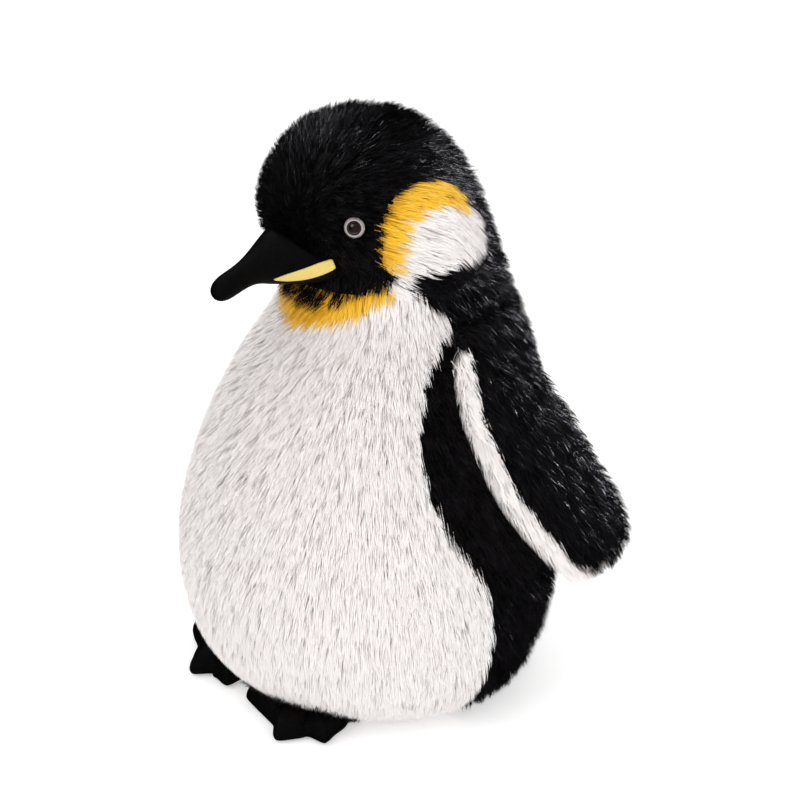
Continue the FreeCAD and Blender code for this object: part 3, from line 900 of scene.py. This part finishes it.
for side in SIDES:
    body = side + "flipper"
    parts = (body + "_outer", body + "_inner", body + "_wadding")
    core = solid_from(body + "_core", [body + "_wadding"], 0.0025, 4, [WHITE_CLOTH, BLACK_CLOTH])
    swell(core, 0.0018)
    paint_by_panel(core, [[body + "_inner"], [body + "_outer"]], parts)
    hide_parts(body + "_wadding")
    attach(core, body)
    at_rear = rear_seam(body, parts)
    lift = constant(0.0035)
    for name, panel, material, only in (
        ("_outer_fur", body + "_outer", BLACK_FUR, None),
        ("_inner_fur", body + "_inner", WHITE_FUR, other_than(at_rear)),
        ("_edge_fur", body + "_inner", BLACK_FUR, at_rear),
    ):
        surface = outer_surface(panel, parts)
        for coat in fur(
            body + name, surface, material, along_blade, blade_length, lift, lean=FLIPPER_LEAN, only=only
        ):
            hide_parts(panel)
            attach(coat, body)


# --- beak and eyes -----------------------------------------------------------------------------------
beak = solid_from("beak_plush", BEAK_PANELS, 0.0012, 8, [VELBOA])
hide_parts(*BEAK_PANELS)
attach(beak, "head")
for side in SIDES:
    stripe = solid_from(side + "felt_stripe", [side + "beak_stripe"], 0.0004, 4, [FELT])
    swell(stripe, 0.0003)
    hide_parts(side + "beak_stripe")
    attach(stripe, "head")
KEPT_NODES = {"eye_ring": RING, "eye_dome": DOME, "eye_washer": PLASTIC}
for side in SIDES:
    for part, material in KEPT_NODES.items():
        nodes[side + part].data.materials.clear()
        nodes[side + part].data.materials.append(material)


# --- stage, light and camera -------------------------------------------------------------------------
WHITE, SOFT_WHITE, LAVENDER = (1, 1, 1), (1, 0.98, 0.97), (0.93, 0.90, 1.0)
FLOOR_REACH = 6
floor_material = fabric_material("pale_floor", (0.86, 0.86, 0.86), (0.90, 0.90, 0.90), 40, 0.9, 0.0, 0.00001)
floor_shader = floor_material.node_tree.nodes["Principled BSDF"]
floor_shader.inputs["Emission Color"].default_value = (*WHITE, 1)
floor_shader.inputs["Emission Strength"].default_value = 0.35
floor_corners = [(x * FLOOR_REACH, y * FLOOR_REACH, 0) for x, y in ((-1, -1), (1, -1), (1, 1), (-1, 1))]
floor = add_mesh("floor", floor_corners, [(0, 1, 2, 3)], [floor_material])
floor.visible_glossy = False

world = bpy.data.worlds.new("studio")
bpy.context.scene.world = world
world.use_nodes = True
background = world.node_tree.nodes["Background"]
background.inputs["Color"].default_value = (*WHITE, 1)
background.inputs["Strength"].default_value = 1.0
world.cycles_visibility.glossy = False
# The filmic view can't reach the golden yellow of the pile, nor a clean black and white.
bpy.context.scene.view_settings.view_transform = "Standard"


def area_light(name, place, target, size, power, colour):
    """A round lamp of some size, turned towards a target."""
    light = bpy.data.lights.new(name, "AREA")
    light.shape = "DISK"
    light.size = size
    light.energy = power
    light.color = colour
    lamp = bpy.data.objects.new(name, light)
    bpy.context.collection.objects.link(lamp)
    lamp.location = place
    lamp.rotation_euler = (Vector(target) - Vector(place)).to_track_quat("-Z", "Y").to_euler()
    return lamp


area_light("key", (0.2, -2.0, 2.2), (0, 0, 0.2), 2.2, 16, SOFT_WHITE)
fill = area_light("fill", (2.2, -0.6, 1.2), (0, 0, 0.2), 1.8, 20, SOFT_WHITE)
fill.visible_glossy = False
# Two small lamps only make the glossy black pile glint: on the nape and on the crown.
for name, place, power in (("nape_glint", (0.4, 2.3, 1.1), 34), ("crown_glint", (-1.4, -0.2, 1.9), 8)):
    lamp = area_light(name, place, (0, 0, 0.3), 0.25, power, LAVENDER)
    lamp.visible_diffuse = False

AZIMUTH, ELEVATION, DISTANCE = math.radians(57), math.radians(22), 1.4
target = Vector((0, 0, 0.215))
backward = Vector((
    math.sin(AZIMUTH) * math.cos(ELEVATION),
    -math.cos(AZIMUTH) * math.cos(ELEVATION),
    math.sin(ELEVATION),
))
camera_data = bpy.data.cameras.new("camera")
camera_data.sensor_width = 36
camera_data.lens = 87.5
camera_data.shift_x = 0.04
camera = bpy.data.objects.new("camera", camera_data)
bpy.context.collection.objects.link(camera)
camera.location = target + backward * DISTANCE
camera.rotation_euler = (-backward).to_track_quat("-Z", "Y").to_euler()
bpy.context.scene.camera = camera
